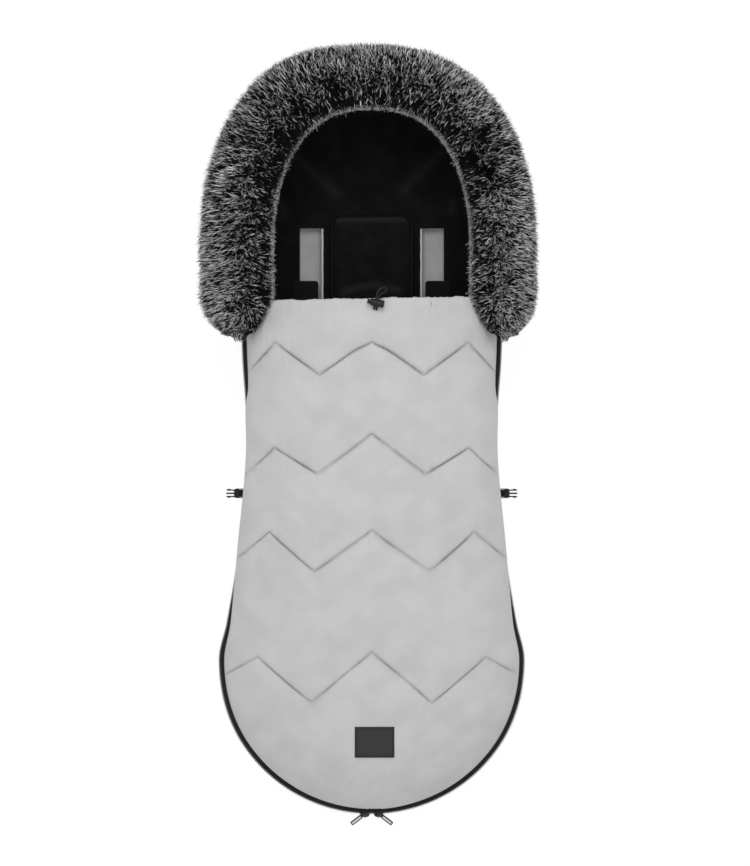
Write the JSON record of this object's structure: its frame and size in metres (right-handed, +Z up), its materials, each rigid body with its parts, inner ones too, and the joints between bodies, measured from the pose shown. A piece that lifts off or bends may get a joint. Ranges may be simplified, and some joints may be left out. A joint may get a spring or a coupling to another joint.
{
  "type": "pushchair footmuff",
  "caption": "Quilted winter footmuff with a fur-trimmed hood, a zip round the foot, a fold-down cover, harness slots and a cord lock.",
  "frame": {"origin": "on the flat rear face, on the centre line, half-way up the whole part", "axes": "+Y to the hood, -Y to the toes, +Z up through the cover, +X to the right seen from above"},
  "size_m": [0.43, 1.0152, 0.1758],
  "materials": {
    "pale_fabric": "pale grey woven, quilted",
    "back_fabric": "grey woven",
    "black_fleece": "black fleece",
    "white_wadding": "white wadding",
    "fur": "near-black faux fur with frosted tips",
    "black_tape": "black woven tape",
    "black_plastic": "black moulded",
    "dark_metal": "dark plated",
    "spring_steel": "bright wire",
    "cord_black": "black braided",
    "label_grey": "dark grey woven, bare"
  },
  "bodies": {
    "body": {"back_outer": "back_fabric", "back_wadding": "white_wadding", "back_lining": "black_fleece", "centre_pad": "black_fleece", "zip_body": "black_tape", "zip_cover_lower": "black_tape", "cover_lower": "pale_fabric", "cover_lower_lining": "black_fleece", "label": "label_grey", "hood_shell": "back_fabric", "hood_lining": "black_fleece"},
    "cover_top": {"cover_upper": "pale_fabric", "cover_upper_lining": "black_fleece", "zip_cover_left": "black_tape", "zip_cover_right": "black_tape", "hem_casing": "pale_fabric", "drawcord": "cord_black", "drawcord_loop": "cord_black"},
    "cord_lock": {"cord_lock_body": "black_plastic", "cord_lock_spring": "spring_steel"},
    "cord_lock_button": {"cord_lock_button": "black_plastic"},
    "hood_rim": {"rim_tape": "black_tape", "fur_trim": "fur"},
    "slider_left": {"slider_left": "dark_metal"},
    "pull_left": {"pull_left": "dark_metal"},
    "buckle_left": {"strap_left": "black_tape", "buckle_left": "black_plastic"},
    "harness_tab_left": {"harness_tab_left": "black_tape"},
    "slot_flap_left": {"slot_flap_left": "back_fabric"},
    "slider_right": {"slider_right": "dark_metal"},
    "pull_right": {"pull_right": "dark_metal"},
    "buckle_right": {"strap_right": "black_tape", "buckle_right": "black_plastic"},
    "harness_tab_right": {"harness_tab_right": "black_tape"},
    "slot_flap_right": {"slot_flap_right": "back_fabric"}
  },
  "joints": [
    {"name": "cover_fold", "type": "hinge", "parent": "body", "child": "cover_top", "pos_m": [0, -0.088, 0.1388], "axis": [1, 0, 0], "range_deg": [0, 165]},
    {"name": "hood_lift", "type": "hinge", "parent": "body", "child": "hood_rim", "pos_m": [0, 0.141, 0.0705], "axis": [1, 0, 0], "range_deg": [0, 35]},
    {"name": "cord_lock_slide", "type": "slide", "parent": "cover_top", "child": "cord_lock", "axis": [0.2079, 0.9781, 0], "range_m": [0, 0.004]},
    {"name": "cord_lock_press", "type": "slide", "parent": "cord_lock", "child": "cord_lock_button", "axis": [0.9781, -0.2079, 0], "range_m": [0, 0.002], "stiffness_N_per_m": 400, "springref_m": -0.0015, "deforming": ["cord_lock_spring"]},
    {"name": "slider_left_run", "type": "hinge", "parent": "body", "child": "slider_left", "pos_m": [0, -0.293, 0.0635], "axis": [0, 0, -1], "range_deg": [0, 80]},
    {"name": "pull_left_flip", "type": "hinge", "parent": "slider_left", "child": "pull_left", "pos_m": [-0.00915, -0.49459, 0.0635], "axis": [0, 0, 1], "range_deg": [-33, 52]},
    {"name": "buckle_left_bend", "type": "hinge", "parent": "body", "child": "buckle_left", "pos_m": [-0.15884, -0.077, 0.0035], "axis": [0, 1, 0], "range_deg": [-20, 40]},
    {"name": "harness_tab_left_peel", "type": "hinge", "parent": "body", "child": "harness_tab_left", "pos_m": [-0.1045, 0.188, 0.015], "axis": [0, -1, 0], "range_deg": [0, 150]},
    {"name": "slot_flap_left_open", "type": "hinge", "parent": "body", "child": "slot_flap_left", "pos_m": [-0.0961, 0.212, 0.0003], "axis": [0, 1, 0], "range_deg": [0, 110]},
    {"name": "slider_right_run", "type": "hinge", "parent": "body", "child": "slider_right", "pos_m": [0, -0.293, 0.0635], "axis": [0, 0, 1], "range_deg": [0, 80]},
    {"name": "pull_right_flip", "type": "hinge", "parent": "slider_right", "child": "pull_right", "pos_m": [0.00915, -0.49459, 0.0635], "axis": [0, 0, -1], "range_deg": [-33, 52]},
    {"name": "buckle_right_bend", "type": "hinge", "parent": "body", "child": "buckle_right", "pos_m": [0.15884, -0.077, 0.0035], "axis": [0, -1, 0], "range_deg": [-20, 40]},
    {"name": "harness_tab_right_peel", "type": "hinge", "parent": "body", "child": "harness_tab_right", "pos_m": [0.1045, 0.188, 0.015], "axis": [0, 1, 0], "range_deg": [0, 150]},
    {"name": "slot_flap_right_open", "type": "hinge", "parent": "body", "child": "slot_flap_right", "pos_m": [0.0961, 0.212, 0.0003], "axis": [0, -1, 0], "range_deg": [0, 110]}
  ]
}
